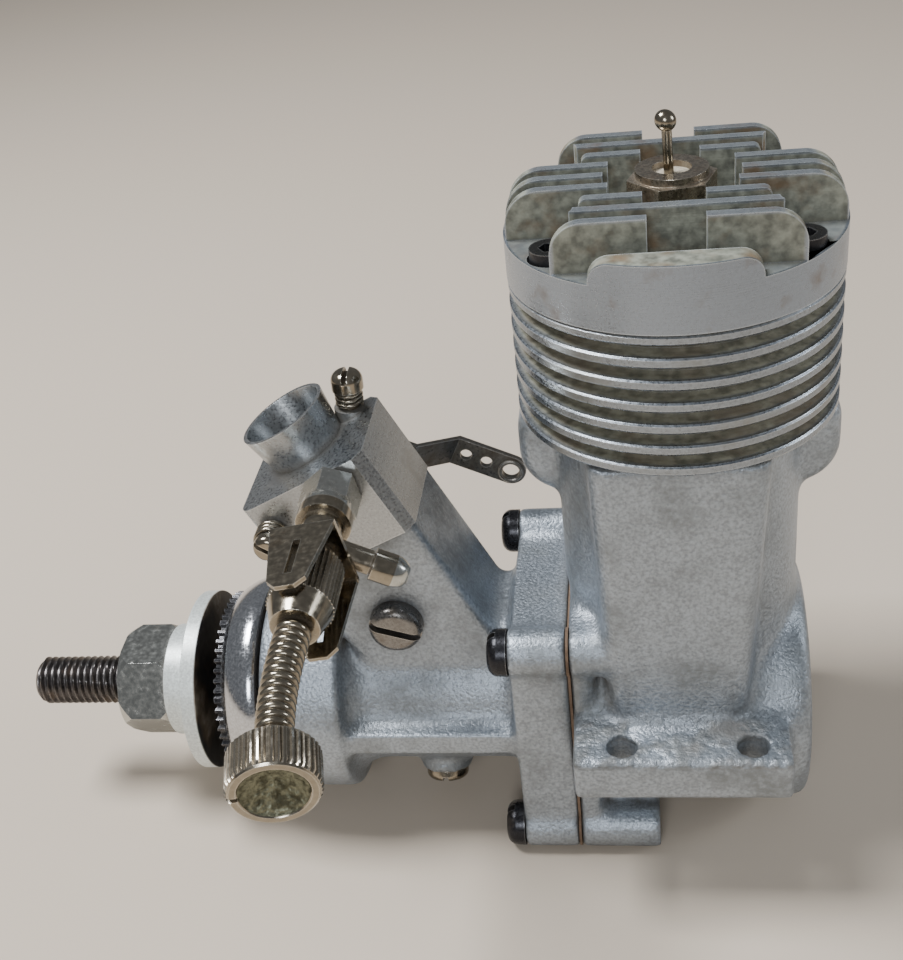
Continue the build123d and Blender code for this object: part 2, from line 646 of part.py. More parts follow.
SPRING_START = Pos(on_needle(SPRING_START_Y)) * Rot(NEEDLE_DROP + SPRING_SAG, 0, -SPRING_YAW)


def needle_plane(y):
    """A plane across the needle's axis, looking outward, with its Y axis towards the clip's upper leaf."""
    turned = Vector(-sin(radians(CLIP_TURN)), 0, cos(radians(CLIP_TURN)))
    return Plane(origin=on_needle(y), x_dir=turned.cross(NEEDLE_AXIS), z_dir=NEEDLE_AXIS)


def needle_gland():
    """The hexagonal nut that holds the needle valve in the block."""
    gland = hexagon(on_needle(-9.3), on_needle(-13.2), 5.6, 10)
    gland += bar(on_needle(-13.0), on_needle(-14.0), 2.9)
    gland += bar(on_needle(-9.4), on_needle(-6.5), 1.6)
    return gland - bar(on_needle(-6), on_needle(-15), 0.9)


def fuel_banjo():
    """The needle valve's outer body, with the bullet-nosed fuel inlet to one side."""
    body = bar(on_needle(-14.0), on_needle(-22.0), 2.3) + bar(on_needle(-14.0), on_needle(-15.6), 3.0)
    root = on_needle(-18.6)
    outward = Vector(cos(radians(INLET_ANGLE)), 0, -sin(radians(INLET_ANGLE)))
    body += bar(root, root + outward * 5.8, INLET_TUBE_R)
    body += bar(root + outward * 5.7, root + outward * 6.1, 1.15)
    body += bar(root + outward * 6.0, root + outward * 8.3, INLET_BULLET_R)
    body += cone(root + outward * 8.3, root + outward * 9.9, INLET_BULLET_R, 0.95)
    body -= bar(on_needle(-13), on_needle(-23), 0.9)
    body -= bar(root, root + outward * 11, 0.6)
    return body


def ratchet_clip():
    """The sprung clip whose two leaves run beside the thimble's grooves."""
    plate = needle_plane(CLIP_Y)
    clip = plate * Pos(0, 0, 0.25) * Box(7.0, 8.2, 0.5)
    clip -= bar(on_needle(CLIP_Y + 1), on_needle(CLIP_Y - 1), 2.33)
    points = ((-3.5, 0), (3.5, 0), (2.0, 8.4), (1.0, 9.4), (-1.0, 9.4), (-2.0, 8.4))
    outline = make_face(Polyline(*points, close=True))
    leaf = extrude(outline, 0.5) - Pos(0, 5.0, 0) * Box(0.8, 5.0, 2)
    for side_turn, splay in ((0, 0.5), (180, 13.0)):
        clip += plate * Rot(0, 0, side_turn) * Pos(0, 4.1, 0) * Rot(90 - splay, 0, 0) * leaf
    return clip


def needle_thimble():
    """The grooved thimble that carries the needle and turns under the clip."""
    thimble = toothed_bar(on_needle(-22.4), on_needle(-28.4), 3.45, 0.25, 40)
    thimble += cone(on_needle(-28.4), on_needle(-31.1), 3.3, 2.5)
    return thimble - bar(on_needle(-22), on_needle(-30.4), 0.75)


def needle_valve():
    """The tapered needle inside the thimble and banjo."""
    needle = bar(on_needle(-10.5), on_needle(-30.4), 0.72)
    return needle + cone(on_needle(-10.5), on_needle(-7.0), 0.72, 0.12)


def bend_point(angle):
    """A point on the bent centre line, in a frame at its start, and its direction there."""
    turned = radians(angle)
    point = Vector(SPRING_BEND_R * (1 - cos(turned)), -SPRING_BEND_R * sin(turned), 0)
    return point, Vector(sin(turned), -cos(turned), 0)


def needle_extension():
    """The close-wound flexible spring between thimble and knob, bent a little towards +X."""
    turns = 16
    start, _ = bend_point(0)
    middle, _ = bend_point(SPRING_BEND_ANGLE / 2)
    end, _ = bend_point(SPRING_BEND_ANGLE)
    spring = sweep(Plane(origin=start, z_dir=(0, -1, 0)) * Circle(1.5), ThreePointArc(start, middle, end))
    for turn in range(turns):
        centre, direction = bend_point(SPRING_BEND_ANGLE * (turn + 0.5) / turns)
        spring += Plane(origin=centre, z_dir=direction) * Torus(1.4, 0.42)
    return SPRING_START * spring


def needle_knob():
    """The knurled knob with a dished face at the end of the flexible extension."""
    end, direction = bend_point(SPRING_BEND_ANGLE)
    back = end + direction * 0.3
    face = back + direction * 4.3
    knob = toothed_bar(back, face, 4.25, 0.28, 44)
    knob -= cone(face - direction * 1.6, face + direction * 0.01, 1.4, 3.25)
    knob -= Plane(origin=face, x_dir=(0, 0, 1), z_dir=direction) * Pos(0, KNOB_NOTCH, 0) * Box(0.5, 1.6, 1.2)
    return SPRING_START * knob


PARTS = {
    "crankcase": crankcase,
    "cylinder_liner": cylinder_liner,
    "head_gasket": head_gasket,
    "cylinder_head": cylinder_head,
    "head_screws": head_screws,
    "glow_plug_body": glow_plug_body,
    "glow_plug_washer": glow_plug_washer,
    "glow_plug_insulator": glow_plug_insulator,
    "glow_plug_terminal": glow_plug_terminal,
    "glow_plug_coil": glow_plug_coil,
    "front_gasket": front_gasket,
    "front_housing": front_housing,
    "crankshaft_bush": crankshaft_bush,
    "front_housing_screws": front_housing_screws,
    "underside_plug": underside_plug,
    "crankshaft": crankshaft,
    "drive_washer": drive_washer,
    "propeller_washer": propeller_washer,
    "propeller_nut": propeller_nut,
    "piston": piston,
    "wrist_pin": wrist_pin,
    "wrist_pin_pads": wrist_pin_pads,
    "connecting_rod": connecting_rod,
    "big_end_bush": lambda: rod_bush(CRANKPIN_R + RUNNING_GAP, CRANKPIN_R + 0.65, 3.0, -THROW),
    "small_end_bush": lambda: rod_bush(WRIST_PIN_R + RUNNING_GAP, WRIST_PIN_R + 0.6, 2.8, WRIST_Z),
    "carburettor_seal": carburettor_seal,
    "carburettor_body": carburettor_body,
    "carburettor_screw": carburettor_screw,
    "throttle_barrel": throttle_barrel,
    "throttle_arm": throttle_arm,
    "idle_stop_screw": idle_stop_screw,
    "idle_stop_spring": idle_stop_spring,
    "air_bleed_screw": air_bleed_screw,
    "air_bleed_spring": air_bleed_spring,
    "needle_gland": needle_gland,
    "fuel_banjo": fuel_banjo,
    "ratchet_clip": ratchet_clip,
    "needle_thimble": needle_thimble,
    "needle_valve": needle_valve,
    "needle_extension": needle_extension,
    "needle_knob": needle_knob,
}

os.makedirs("parts", exist_ok=True)
for name, make in PARTS.items():
    shape = make()
    shape.label = name
    export_step(shape, f"parts/{name}.step")
    print(name, shape.is_valid, round(shape.volume, 2), shape.bounding_box())
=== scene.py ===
"""The looks of a two-stroke glow engine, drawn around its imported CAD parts.

Meshes are worked on in millimetres and scaled to metres when they become pieces of the scene.
"""
import json
from math import cos, pi, radians, sin

import bmesh
import bpy
import numpy as np
from mathutils import Matrix, Vector, noise

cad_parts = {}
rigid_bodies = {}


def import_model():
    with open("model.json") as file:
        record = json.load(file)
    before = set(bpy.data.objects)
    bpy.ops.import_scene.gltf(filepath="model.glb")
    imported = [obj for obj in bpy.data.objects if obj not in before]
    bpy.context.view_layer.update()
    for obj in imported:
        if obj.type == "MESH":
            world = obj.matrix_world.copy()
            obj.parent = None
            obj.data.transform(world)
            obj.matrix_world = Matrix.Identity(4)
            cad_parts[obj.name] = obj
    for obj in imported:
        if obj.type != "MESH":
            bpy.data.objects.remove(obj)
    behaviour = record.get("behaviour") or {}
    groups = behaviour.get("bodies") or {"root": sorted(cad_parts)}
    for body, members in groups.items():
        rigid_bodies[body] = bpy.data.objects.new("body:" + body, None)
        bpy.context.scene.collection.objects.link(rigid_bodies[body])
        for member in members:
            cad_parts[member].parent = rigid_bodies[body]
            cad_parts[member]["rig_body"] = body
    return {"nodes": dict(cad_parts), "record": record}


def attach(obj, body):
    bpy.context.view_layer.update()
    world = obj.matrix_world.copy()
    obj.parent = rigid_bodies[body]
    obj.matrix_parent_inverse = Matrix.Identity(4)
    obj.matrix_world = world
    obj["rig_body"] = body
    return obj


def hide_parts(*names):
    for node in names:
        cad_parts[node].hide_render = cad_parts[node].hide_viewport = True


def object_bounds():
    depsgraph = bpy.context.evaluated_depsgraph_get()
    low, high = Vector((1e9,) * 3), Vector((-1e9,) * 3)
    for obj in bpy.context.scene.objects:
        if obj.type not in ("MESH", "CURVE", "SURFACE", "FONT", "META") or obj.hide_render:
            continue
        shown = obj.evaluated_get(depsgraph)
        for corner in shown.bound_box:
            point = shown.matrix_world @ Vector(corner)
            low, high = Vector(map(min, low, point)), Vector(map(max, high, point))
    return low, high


# Casting skin
CRANKCASE_VOXEL = 0.4
HOUSING_VOXEL = 0.36
CAST_FILLET_STEPS = 45
CAST_SOFTEN_STEPS = 3

# Crankcase fins
FIN_TOP_OF_CASE = 40.1
FIN_FIRST_Z = 40.16
FIN_PITCH = 2.39
FIN_THICKNESS = 1.2
FIN_COUNT = 7
FIN_R = 17.05
FIN_ROOT_R = 15.2
FIN_BORE_R = 13.05
DECK_Z = 55.6

# Propeller stud and the washers behind it
STUD_TIP_X = -84.5
STUD_END_X = -71.4
STUD_R = 3.175
STUD_PITCH = 0.907
STUD_THREAD_DEPTH = 0.5

# The needle valve's bent spring, with the knob at its end
SPRING_START = Vector((-37.3, -31.45, 33.642))
SPRING_DROP = radians(6.8)
SPRING_YAW = radians(-4.5)
SPRING_BEND_R = 52.0
SPRING_BEND = radians(16.0)
KNOB_TEETH = 44

# The fuel inlet
INLET_ROOT = Vector((-37.3, -18.6, 34.495))
INLET_DIRECTION = Vector((cos(radians(26.0)), 0, -sin(radians(26.0))))

# The throttle arm's largest hole, on its near face
ARM_EYELET = Vector((-20.21, 11.6, 23.37))

# Bores that stay round while the castings' corners are filled
LUG_HOLE_X = 7.2
LUG_HOLE_Y = 18.5
LUG_HOLE_R = 2.5
CYLINDER_BORE_R = 12.4
SHAFT_BORE_R = 8.6

# Where grime lies: the head's top and the beam lugs' tops; the propeller washer's back takes painted shade
HEAD_FLOOR_Z = 60.0
HEAD_FIN_TIP_Z = 65.0
HEAD_RIM_R = 17.0
LUG_TOP_Z = 5.2
LUG_INNER_Y = 15.5
WASHER_BACK_X = -59.45

# Small parts
DRIVE_BORE_R = 4.95
DRIVE_TEETH = 56
GASKET_INNER_R = 13.4
GASKET_WANDER = 0.28
TERMINAL_BEND_Z = 65.0
TERMINAL_LEAN = 0.1
HEAD_SCREW_CUT_Z = 57.0

# How strongly tool lines and caked grime stand out, against a grain of 1
STREAK_HEIGHT = 1.5
MOTTLE_HEIGHT = 5.0

# Colour of grime and painted shade in the sheltered corners of the fins and head
CORNER_GRIME_AND_SHADE = (0.10, 0.085, 0.055)
BROWN = (0.20, 0.13, 0.07)

# Floor, lights and camera, in metres
FLOOR_REACH = 3
LIGHT_TARGET = Vector((-0.02, 0, 0.025))
CAMERA_LENS = 49.247
CAMERA_PLACE = (-0.003568, -0.12617, 0.111668)
CAMERA_RIGHT = Vector((0.9887, 0.1039, -0.1084))
CAMERA_UP = Vector((0.034, 0.5482, 0.8356))
CAMERA_BACK = Vector((0.1462, -0.8299, 0.5385))

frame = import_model()
cad_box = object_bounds()
nodes = frame["nodes"]
slot_of = {part["node"]: part["material_slot"] for part in frame["record"]["subparts"]}


# Shader helpers

def wire(tree, value, socket):
    """Links a socket to another one, or gives it a constant."""
    if isinstance(value, bpy.types.NodeSocket):
        tree.links.new(value, socket)
    else:
        socket.default_value = value


def millimetres(tree):
    """The point on the piece in millimetres."""
    place = tree.nodes.new("ShaderNodeTexCoord").outputs["Object"]
    scaled = tree.nodes.new("ShaderNodeVectorMath")
    scaled.operation = "SCALE"
    wire(tree, place, scaled.inputs[0])
    scaled.inputs["Scale"].default_value = 1000
    return scaled.outputs[0]


def blotches(tree, place, size, detail=3.0):
    """Noise from 0 to 1. The size, in millimetres, can differ along X, Y and Z."""
    sizes = size if isinstance(size, tuple) else (size, size, size)
    stretched = tree.nodes.new("ShaderNodeVectorMath")
    stretched.operation = "MULTIPLY"
    wire(tree, place, stretched.inputs[0])
    stretched.inputs[1].default_value = [1 / length for length in sizes]
    texture = tree.nodes.new("ShaderNodeTexNoise")
    wire(tree, stretched.outputs[0], texture.inputs["Vector"])
    texture.inputs["Scale"].default_value = 1.0
    texture.inputs["Detail"].default_value = detail
    return texture.outputs[0]


def remap(tree, value, low, high, to_low=0.0, to_high=1.0):
    """Maps the range low..high to another range, without going past its ends."""
    node = tree.nodes.new("ShaderNodeMapRange")
    wire(tree, value, node.inputs["Value"])
    node.inputs["From Min"].default_value = low
    node.inputs["From Max"].default_value = high
    node.inputs["To Min"].default_value = to_low
    node.inputs["To Max"].default_value = to_high
    return node.outputs["Result"]


def calculate(tree, operation, first, second=0.0):
    """One arithmetic step on one or two values."""
    node = tree.nodes.new("ShaderNodeMath")
    node.operation = operation
    wire(tree, first, node.inputs[0])
    wire(tree, second, node.inputs[1])
    return node.outputs[0]


def mixed(tree, factor, first, second):
    """A mix of two colours."""
    node = tree.nodes.new("ShaderNodeMix")
    node.data_type = "RGBA"
    wire(tree, factor, node.inputs[0])
    wire(tree, first, node.inputs[6])
    wire(tree, second, node.inputs[7])
    return node.outputs[2]


def coordinate(tree, place, axis):
    """One coordinate of a point."""
    node = tree.nodes.new("ShaderNodeSeparateXYZ")
    wire(tree, place, node.inputs[0])
    return node.outputs[axis]


def distance_from_cylinder_axis(tree, place):
    """How far a point is from the vertical axis."""
    flat = tree.nodes.new("ShaderNodeVectorMath")
    flat.operation = "MULTIPLY"
    wire(tree, place, flat.inputs[0])
    flat.inputs[1].default_value = (1, 1, 0)
    length = tree.nodes.new("ShaderNodeVectorMath")
    length.operation = "LENGTH"
    wire(tree, flat.outputs[0], length.inputs[0])
    return length.outputs["Value"]


def corners_and_edges(tree, reach):
    """Two masks: sheltered corners, where grime gathers and painted shade is laid, and raised edges that get
    rubbed bright.
    """
    shelter = tree.nodes.new("ShaderNodeAmbientOcclusion")
    shelter.samples = 3
    shelter.inputs["Distance"].default_value = reach * 0.001
    corners = remap(tree, shelter.outputs["AO"], 0.35, 0.92, 1.0, 0.0)
    eased = tree.nodes.new("ShaderNodeBevel")
    eased.samples = 3
    eased.inputs["Radius"].default_value = 0.0002
    turned = tree.nodes.new("ShaderNodeVectorMath")
    turned.operation = "DOT_PRODUCT"
    wire(tree, eased.outputs["Normal"], turned.inputs[0])
    wire(tree, tree.nodes.new("ShaderNodeNewGeometry").outputs["Normal"], turned.inputs[1])
    edges = remap(tree, turned.outputs["Value"], 0.86, 0.985, 1.0, 0.0)
    edges = calculate(tree, "MULTIPLY", edges, remap(tree, corners, 0.2, 0.55, 1.0, 0.0))
    return corners, edges


def surface(name, base, stain=None, grime_and_shade=None, shine=None, metallic=1.0, roughness=0.35, grain=0.3,
            grain_depth=0.01, stain_size=7.0, stain_from=0.52, grime_and_shade_reach=1.2, lines=None, cover=None, depth=0.7):
    """A worn surface: grain, stains, grime and painted shade in the corners, bright edges, and tool lines.

    `lines` is the size of the streaks left by machining, and `depth` how dark the low grain is. `cover` is
    (mask maker, colour, roughness), for grime over part of the piece; on the propeller washer it lays painted
    shade.
    """
    material = bpy.data.materials.new(name)
    material.use_nodes = True
    tree = material.node_tree
    shader = tree.nodes["Principled BSDF"]
    place = millimetres(tree)
    fine = blotches(tree, place, grain)
    wide = blotches(tree, place, stain_size, 6.0)
    dark = tuple(depth * channel for channel in base)
    color = mixed(tree, remap(tree, fine, 0.32, 0.68), (*dark, 1), (*base, 1))
    rough = remap(tree, fine, 0.3, 0.7, roughness - 0.07, roughness + 0.09)
    height = fine
    dull = 0.0
    if lines:
        streaks = blotches(tree, place, lines, 4.0)
        color = mixed(tree, remap(tree, streaks, 0.45, 0.75, 0.0, 0.35), color, (*dark, 1))
        height = calculate(tree, "ADD", fine, calculate(tree, "MULTIPLY", streaks, STREAK_HEIGHT))
    if cover:
        make_mask, cover_color, cover_rough = cover
        mask = make_mask(tree, place)
        mottle = blotches(tree, place, 1.1, 6.0)
        patchy = mixed(tree, remap(tree, mottle, 0.35, 0.65), (*[0.42 * channel for channel in cover_color], 1),
                       (*cover_color, 1))
        patchy = mixed(tree, remap(tree, wide, 0.5, 0.7, 0.0, 0.7), patchy, (*BROWN, 1))
        color = mixed(tree, mask, color, patchy)
        caked = calculate(tree, "MULTIPLY", mask, mottle)
        height = calculate(tree, "ADD", height, calculate(tree, "MULTIPLY", caked, MOTTLE_HEIGHT))
        dull = mask
        rough = calculate(tree, "MAXIMUM", rough, calculate(tree, "MULTIPLY", mask, cover_rough))
    if stain:
        spots = calculate(tree, "MULTIPLY", remap(tree, wide, stain_from, stain_from + 0.22),
                          remap(tree, blotches(tree, place, 0.9), 0.3, 0.6, 0.25, 0.8))
        color = mixed(tree, spots, color, (*stain, 1))
        rough = calculate(tree, "ADD", rough, calculate(tree, "MULTIPLY", spots, 0.2))
    corners, edges = corners_and_edges(tree, grime_and_shade_reach)
    # Grime and painted shade: corners that ambient occlusion finds sheltered are darkened towards this colour.
    if grime_and_shade:
        spread = remap(tree, blotches(tree, place, 2.2, 5.0), 0.25, 0.6, 0.35, 1.0)
        amount = calculate(tree, "MULTIPLY", corners, spread)
        color = mixed(tree, calculate(tree, "MULTIPLY", amount, 0.85), color, (*grime_and_shade, 1))
        rough = calculate(tree, "ADD", rough, calculate(tree, "MULTIPLY", amount, 0.25))
        dull = calculate(tree, "MAXIMUM", dull, amount)
    if shine:
        color = mixed(tree, calculate(tree, "MULTIPLY", edges, 0.7), color, (*shine, 1))
    shader.inputs["Metallic"].default_value = metallic
    if cover or grime_and_shade:
        wire(tree, remap(tree, dull, 0.0, 1.0, metallic, 0.25 * metallic), shader.inputs["Metallic"])
    bump = tree.nodes.new("ShaderNodeBump")
    bump.inputs["Strength"].default_value = 1.0
    bump.inputs["Distance"].default_value = grain_depth * 0.001
    wire(tree, height, bump.inputs["Height"])
    wire(tree, color, shader.inputs["Base Color"])
    wire(tree, rough, shader.inputs["Roughness"])
    wire(tree, bump.outputs["Normal"], shader.inputs["Normal"])
    return material


def above_head_floor(tree, place):
    """The top of the head between its floor and the tips of its fins."""
    height = coordinate(tree, place, 2)
    above = remap(tree, height, HEAD_FLOOR_Z, HEAD_FLOOR_Z + 0.5)
    below_tips = remap(tree, height, HEAD_FIN_TIP_Z, HEAD_FIN_TIP_Z + 0.25, 1.0, 0.35)
    band = calculate(tree, "MULTIPLY", above, below_tips)
    radius = distance_from_cylinder_axis(tree, place)
    return calculate(tree, "MULTIPLY", band, remap(tree, radius, HEAD_RIM_R - 0.25, HEAD_RIM_R, 1.0, 0.0))


def lug_tops(tree, place):
    """Stained patches on the upper faces of the beam lugs."""
    height = coordinate(tree, place, 2)
    above = remap(tree, height, LUG_TOP_Z - 0.5, LUG_TOP_Z)
    band = calculate(tree, "MULTIPLY", above, remap(tree, height, LUG_TOP_Z + 1.0, LUG_TOP_Z + 2.2, 1.0, 0.0))
    sideways = calculate(tree, "ABSOLUTE", coordinate(tree, place, 1))
    band = calculate(tree, "MULTIPLY", band, remap(tree, sideways, LUG_INNER_Y - 1.0, LUG_INNER_Y))
    return calculate(tree, "MULTIPLY", band, remap(tree, blotches(tree, place, 3.0, 5.0), 0.4, 0.58, 0.1, 0.9))


def painted_shade_behind_washer(tree, place):
    """The propeller washer's rear face, painted near black as the shade in the gap before the drive washer."""
    return remap(tree, coordinate(tree, place, 0), WASHER_BACK_X - 0.15, WASHER_BACK_X)


def between_fins(tree, place):
    """The grooves between the cylinder's fins."""
    return remap(tree, distance_from_cylinder_axis(tree, place), FIN_R - 0.75, FIN_R - 0.15, 1.0, 0.0)


cast = surface("cast alloy", (0.44, 0.49, 0.55), stain=(0.22, 0.235, 0.24), grime_and_shade=(0.11, 0.10, 0.085),
               shine=(0.75, 0.82, 0.9), metallic=0.82, roughness=0.4, grain=0.36, grain_depth=0.11,
               stain_size=8.0, stain_from=0.46, grime_and_shade_reach=2.4, cover=(lug_tops, (0.24, 0.25, 0.25), 0.5),
               depth=0.6)
finned = surface("turned fins", (0.37, 0.41, 0.46), stain=(0.30, 0.29, 0.25), grime_and_shade=CORNER_GRIME_AND_SHADE, shine=(0.85, 0.9, 0.95),
                 roughness=0.3, lines=(30.0, 30.0, 0.14), grain_depth=0.012, grime_and_shade_reach=1.0,
                 cover=(between_fins, (0.40, 0.39, 0.31), 0.7))
headed = surface("head alloy", (0.34, 0.385, 0.45), stain=BROWN, grime_and_shade=CORNER_GRIME_AND_SHADE, shine=(0.82, 0.88, 0.93),
                 metallic=0.95, roughness=0.3, lines=(18.0, 18.0, 0.12), grain_depth=0.012, stain_size=3.5,
                 stain_from=0.6, cover=(above_head_floor, (0.34, 0.35, 0.29), 0.6), depth=0.86)
block_alloy = surface("machined block", (0.47, 0.49, 0.505), stain=(0.36, 0.33, 0.28), grime_and_shade=(0.16, 0.135, 0.10),
                      shine=(0.9, 0.93, 0.95), roughness=0.3, lines=(2.5, 14.0, 0.25), grain_depth=0.008,
                      stain_from=0.62)
polished = surface("polished alloy", (0.66, 0.68, 0.72), stain=(0.4, 0.37, 0.33), grime_and_shade=(0.12, 0.1, 0.08),
                   roughness=0.15, lines=(0.15, 20.0, 20.0), grain_depth=0.004, stain_from=0.6)
# The cover paints the washer's back near black: painted shade of the gap between it and the drive washer.
etched = surface("pale etched alloy", (0.80, 0.85, 0.83), stain=(0.52, 0.54, 0.50), grime_and_shade=(0.25, 0.25, 0.22),
                 metallic=0.3, roughness=0.38, lines=(0.2, 9.0, 9.0), grain_depth=0.005, stain_from=0.58,
                 cover=(painted_shade_behind_washer, (0.03, 0.03, 0.03), 0.6))
nickel = surface("worn nickel", (0.34, 0.30, 0.235), stain=(0.22, 0.15, 0.08), grime_and_shade=(0.045, 0.03, 0.015),
                 shine=(0.9, 0.86, 0.78), roughness=0.17, grain=0.6, grain_depth=0.003, stain_size=3.0,
                 stain_from=0.58, grime_and_shade_reach=0.8, depth=0.85)
plug_metal = surface("browned plug steel", (0.46, 0.40, 0.32), stain=(0.22, 0.13, 0.07), grime_and_shade=(0.07, 0.05, 0.03),
                     shine=(0.78, 0.72, 0.62), roughness=0.26, stain_size=2.0, stain_from=0.48)
dark_steel = surface("dark oiled steel", (0.115, 0.105, 0.105), stain=(0.2, 0.15, 0.11), grime_and_shade=(0.02, 0.02, 0.02),
                     shine=(0.45, 0.43, 0.42), roughness=0.33, stain_size=3.0, grime_and_shade_reach=0.4)
black = surface("blackened steel", (0.035, 0.035, 0.04), stain=(0.12, 0.10, 0.08), grime_and_shade=(0.01, 0.01, 0.01),
                shine=(0.35, 0.35, 0.36), metallic=0.8, roughness=0.3, stain_size=2.5, stain_from=0.6)
arm_steel = surface("worn lever steel", (0.24, 0.23, 0.21), stain=(0.10, 0.075, 0.05), grime_and_shade=(0.05, 0.04, 0.03),
                    shine=(0.75, 0.73, 0.7), roughness=0.32, stain_size=2.0, stain_from=0.45)
slotted = surface("oiled screw steel", (0.25, 0.24, 0.23), stain=(0.12, 0.09, 0.06), grime_and_shade=(0.03, 0.025, 0.02),
                  shine=(0.7, 0.68, 0.64), roughness=0.28, stain_size=2.0)
paper = surface("oiled gasket paper", (0.20, 0.13, 0.085), stain=(0.08, 0.05, 0.03), metallic=0.0, roughness=0.8,
                grain=0.2, grain_depth=0.03, stain_size=3.0)
plated = surface("bright plate", (0.56, 0.57, 0.54), stain=(0.3, 0.26, 0.2), grime_and_shade=(0.08, 0.06, 0.04),
                 shine=(0.92, 0.92, 0.9), roughness=0.19, grain=0.6, grain_depth=0.003, stain_size=3.0,
                 stain_from=0.6, grime_and_shade_reach=0.8, depth=0.85)
residue = surface("dried fuel in the dish", (0.26, 0.26, 0.18), stain=(0.055, 0.05, 0.03), metallic=0.9,
                  roughness=0.45, grain=0.35, grain_depth=0.12, stain_size=0.9, stain_from=0.42)
bronze = surface("bearing bronze", (0.62, 0.45, 0.24), stain=(0.3, 0.2, 0.1), roughness=0.35)
copper = surface("soft copper", (0.66, 0.36, 0.22), stain=(0.25, 0.13, 0.08), roughness=0.4)
ceramic = surface("plug insulator", (0.62, 0.56, 0.45), stain=(0.25, 0.17, 0.1), metallic=0.0, roughness=0.5,
                  stain_size=1.5)
ground_steel = surface("ground steel", (0.5, 0.5, 0.5), stain=(0.3, 0.26, 0.22), roughness=0.28,
                       lines=(20.0, 20.0, 0.2))
iron = surface("lapped iron", (0.27, 0.27, 0.28), stain=(0.18, 0.13, 0.08), roughness=0.4)

slot_look = {
    "cast_alloy": cast, "machined_alloy": block_alloy, "pale_alloy": etched, "rod_alloy": cast,
    "liner_steel": ground_steel, "piston_iron": iron, "crank_steel": dark_steel, "bronze": bronze,
    "nickel_plate": nickel, "plug_steel": plug_metal, "black_steel": black, "gasket_paper": paper,
    "soft_alloy": polished, "copper": copper, "insulator": ceramic,
}
for node_name, node_object in nodes.items():
    node_object.data.materials.clear()
    node_object.data.materials.append(slot_look[slot_of[node_name]])


# Mesh helpers, all in millimetres

def closed_copy(node):
    """A copy of a CAD node's shape with its seams joined."""
    work = bmesh.new()
    work.from_mesh(nodes[node].data)
    bmesh.ops.transform(work, matrix=Matrix.Scale(1000, 4), verts=work.verts)
    bmesh.ops.remove_doubles(work, verts=work.verts, dist=0.003)
    return work


def cut_away(work, point, normal):
    """Removes what lies on the normal's side of a plane and closes the cut."""
    parts = work.verts[:] + work.edges[:] + work.faces[:]
    cut = bmesh.ops.bisect_plane(work, geom=parts, plane_co=point, plane_no=normal, clear_outer=True, dist=0.001)
    edges = [item for item in cut["geom_cut"] if isinstance(item, bmesh.types.BMEdge)]
    bmesh.ops.triangle_fill(work, edges=edges, use_beauty=True)


def to_mesh(name, work):
    """A plain mesh from the working mesh, without any leftover layers."""
    work.verts.index_update()
    points = [vertex.co[:] for vertex in work.verts]
    faces = [[vertex.index for vertex in face.verts] for face in work.faces]
    work.free()
    mesh = bpy.data.meshes.new(name)
    mesh.from_pydata(points, [], faces)
    return mesh


def modified(mesh, *modifiers):
    """The mesh after a list of (kind, settings) modifiers."""
    holder = bpy.data.objects.new(mesh.name, mesh)
    bpy.context.collection.objects.link(holder)
    for kind, settings in modifiers:
        modifier = holder.modifiers.new(kind.lower(), kind)
        for setting, value in settings.items():
            setattr(modifier, setting, value)
    graph = bpy.context.evaluated_depsgraph_get()
    result = bpy.data.meshes.new_from_object(holder.evaluated_get(graph))
    bpy.data.objects.remove(holder)
    return result


def piece(name, mesh, node, *materials, replaces=True):
    """Makes a mesh a piece of the scene that rides with a CAD node and stands in for it."""
    mesh.transform(Matrix.Scale(0.001, 4))
    for material in materials:
        mesh.materials.append(material)
    thing = bpy.data.objects.new(name, mesh)
    bpy.context.collection.objects.link(thing)
    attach(thing, nodes[node]["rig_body"])
    if replaces:
        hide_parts(node)
    return thing


def softened(name, work, edge):
    """The shape with its hard edges rounded by a small amount."""
    bmesh.ops.dissolve_limit(work, angle_limit=radians(1.0), verts=work.verts, edges=work.edges)
    mesh = to_mesh(name, work)
    bevel = ("BEVEL", {"width": edge, "segments": 2, "limit_method": "ANGLE", "angle_limit": radians(32)})
    mesh = modified(mesh, bevel)
    mesh.shade_smooth()
    mesh.set_sharp_from_angle(angle=radians(38))
    return modified(mesh, ("WEIGHTED_NORMAL", {"keep_sharp": True}))


def dressed(node, material, edge=0.1):
    """A CAD part with softened edges and its own finish."""
    return piece(f"{node}_skin", softened(node, closed_copy(node), edge), node, material)


